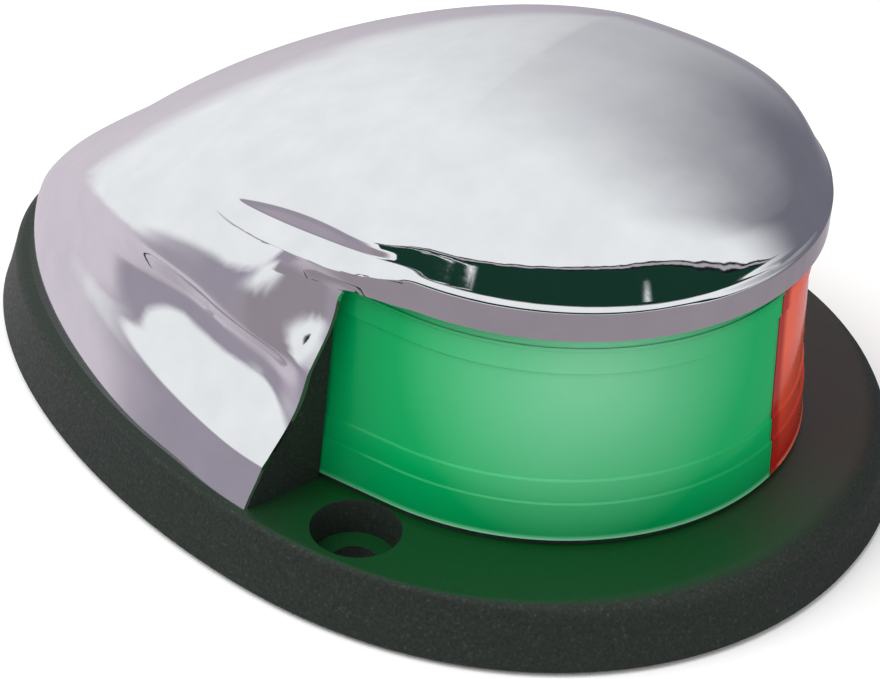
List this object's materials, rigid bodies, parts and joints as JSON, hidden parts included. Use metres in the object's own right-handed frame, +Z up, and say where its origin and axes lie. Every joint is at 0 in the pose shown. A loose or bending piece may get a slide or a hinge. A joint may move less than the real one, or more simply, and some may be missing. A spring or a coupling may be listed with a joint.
{
  "type": "navigation light",
  "caption": "Small-boat bow navigation light: green and red drum lens under a chromed teardrop cover on a black egg-shaped base, with lamp and wiring inside.",
  "frame": {"origin": "centre of the base outline, on the flat mounting face under the base", "axes": "+X dead ahead, toward the joint between the lenses; +Y to port, the red side; +Z up, away from the deck"},
  "size_m": [0.115, 0.0874, 0.0488],
  "materials": {
    "base_plastic": "fine-textured black moulding",
    "cover_chrome": "polished chrome plating",
    "lens_green": "clear-dyed green, glossy, ring lines moulded in",
    "lens_red": "clear-dyed red, glossy, ring lines moulded in",
    "seal_rubber": "matt black",
    "lamp_glass": "clear",
    "lamp_metal": "nickel-plated caps",
    "filament": "drawn wire",
    "contact_brass": "rolled spring strip",
    "fastener_steel": "plain stainless",
    "wire_red": "red insulation",
    "wire_black": "black insulation",
    "terminal_tin": "tinned crimp"
  },
  "bodies": {
    "base": {"base": "base_plastic", "mounting_gasket": "seal_rubber", "cover_seal": "seal_rubber", "lens_green": "lens_green", "lens_red": "lens_red", "lens_seal_green": "seal_rubber", "lens_seal_red": "seal_rubber", "sector_baffle": "base_plastic", "lamp_glass": "lamp_glass", "lamp_cap_lower": "lamp_metal", "lamp_cap_upper": "lamp_metal", "lamp_filament": "filament", "contact_lower": "contact_brass", "contact_upper": "contact_brass", "rivet_lower": "fastener_steel", "rivet_upper": "fastener_steel", "lead_positive": "wire_red", "lead_negative": "wire_black", "terminal_positive": "terminal_tin", "terminal_negative": "terminal_tin", "grommet": "seal_rubber", "cover_screw_port": "fastener_steel", "screw_washer_port": "fastener_steel", "cover_screw_starboard": "fastener_steel", "screw_washer_starboard": "fastener_steel"},
    "cover": {"cover": "cover_chrome"}
  },
  "joints": [
    {"name": "cover_lift", "type": "slide", "parent": "base", "child": "cover", "axis": [0, 0, 1], "range_m": [0, 0.045]}
  ]
}
